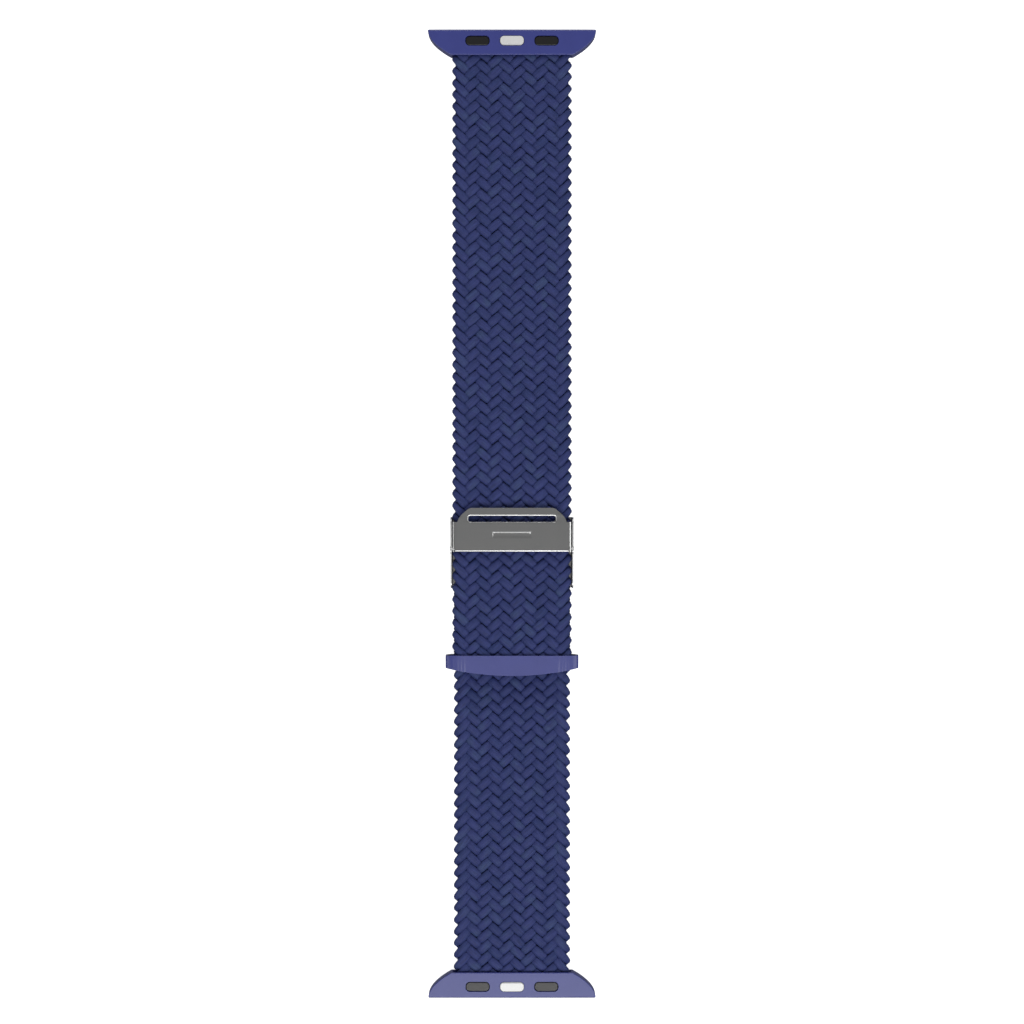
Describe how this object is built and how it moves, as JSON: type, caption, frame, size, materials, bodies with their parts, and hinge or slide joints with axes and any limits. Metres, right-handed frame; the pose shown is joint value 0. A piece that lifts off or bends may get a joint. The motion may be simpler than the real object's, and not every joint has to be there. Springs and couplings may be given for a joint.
{
  "type": "braided watch band",
  "caption": "Braided nylon watch band with a flip buckle, a sliding keeper and two quick-release lug adapters.",
  "frame": {"origin": "middle of the band's footprint, on the plane it lies on", "axes": "+Y along the band towards the upper lug, +Z out of the face that shows when worn, +X across the band"},
  "size_m": [0.0308, 0.1787, 0.0069],
  "materials": {
    "braid": "flat herringbone braid of navy nylon yarn",
    "anodised": "satin navy anodising",
    "steel": "fine satin with bright edges",
    "latch": "bright silver",
    "pad": "matte black"
  },
  "bodies": {
    "short_strap": {"lower_strap": "braid", "lower_lug_body": "anodised", "lower_pad_left": "pad", "lower_pad_right": "pad", "lower_lock_cover": "steel", "lower_lock_spring": "latch", "lower_dowel_left": "steel", "lower_dowel_right": "steel", "lower_end_crimp": "steel", "buckle_base": "steel", "buckle_grip_plate": "steel", "buckle_rivet_left": "steel", "buckle_rivet_right": "steel", "buckle_hinge_pin": "steel"},
    "long_strap": {"upper_strap": "braid", "upper_lug_body": "anodised", "upper_pad_left": "pad", "upper_pad_right": "pad", "upper_lock_cover": "steel", "upper_lock_spring": "latch", "upper_dowel_left": "steel", "upper_dowel_right": "steel", "upper_end_crimp": "steel", "keeper_loop": "anodised", "keeper_clamp_bar": "steel", "keeper_pin_left": "steel", "keeper_pin_right": "steel"},
    "lever": {"buckle_lever": "steel"},
    "upper_lock": {"upper_lock_button": "latch"},
    "lower_lock": {"lower_lock_button": "latch"}
  },
  "joints": [
    {"name": "strap_slide", "type": "slide", "parent": "short_strap", "child": "long_strap", "axis": [0, 1, 0], "range_m": [-0.054, 0.0115]},
    {"name": "lever_hinge", "type": "hinge", "parent": "short_strap", "child": "lever", "pos_m": [0, -0.00645, 0.0062], "axis": [1, 0, 0], "range_deg": [0, 95]},
    {"name": "upper_lock_press", "type": "slide", "parent": "long_strap", "child": "upper_lock", "axis": [0, 0, -1], "range_m": [0, 0.0007], "stiffness_N_per_m": 300, "springref_m": -0.0005, "deforming": ["upper_lock_spring"]},
    {"name": "lower_lock_press", "type": "slide", "parent": "short_strap", "child": "lower_lock", "axis": [0, 0, -1], "range_m": [0, 0.0007], "stiffness_N_per_m": 300, "springref_m": -0.0005, "deforming": ["lower_lock_spring"]}
  ]
}
